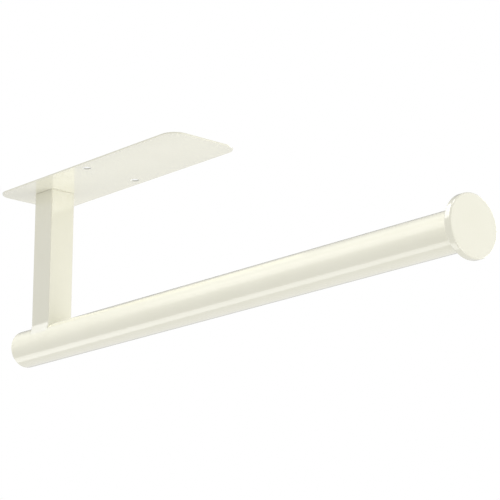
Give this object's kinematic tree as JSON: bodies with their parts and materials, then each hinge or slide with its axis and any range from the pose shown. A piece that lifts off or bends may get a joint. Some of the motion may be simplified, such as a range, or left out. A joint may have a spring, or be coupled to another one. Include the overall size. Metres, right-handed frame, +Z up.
{
  "type": "paper towel holder",
  "caption": "Under-cabinet paper towel holder: a thin mounting plate, a square post and a long round bar that carries the roll, with a stopper disc on its free end.",
  "frame": {"origin": "centre of the mounting plate's top face, which lies against the cabinet", "axes": "+Z up into the cabinet, +X along the bar towards the stopper disc, Y across the plate; the part is symmetric about the XZ plane"},
  "size_m": [0.33, 0.044, 0.0982],
  "materials": {
    "cream_paint": "gloss cream powder coat on steel",
    "brass": "turned brass",
    "zinc_plate": "bright zinc plate on steel"
  },
  "bodies": {
    "root": {"mounting_plate": "cream_paint", "post": "cream_paint", "bar_tube": "cream_paint", "bar_end_plug": "cream_paint", "stopper_disc": "cream_paint", "stopper_bush": "brass", "stopper_stud": "zinc_plate"}
  },
  "joints": []
}
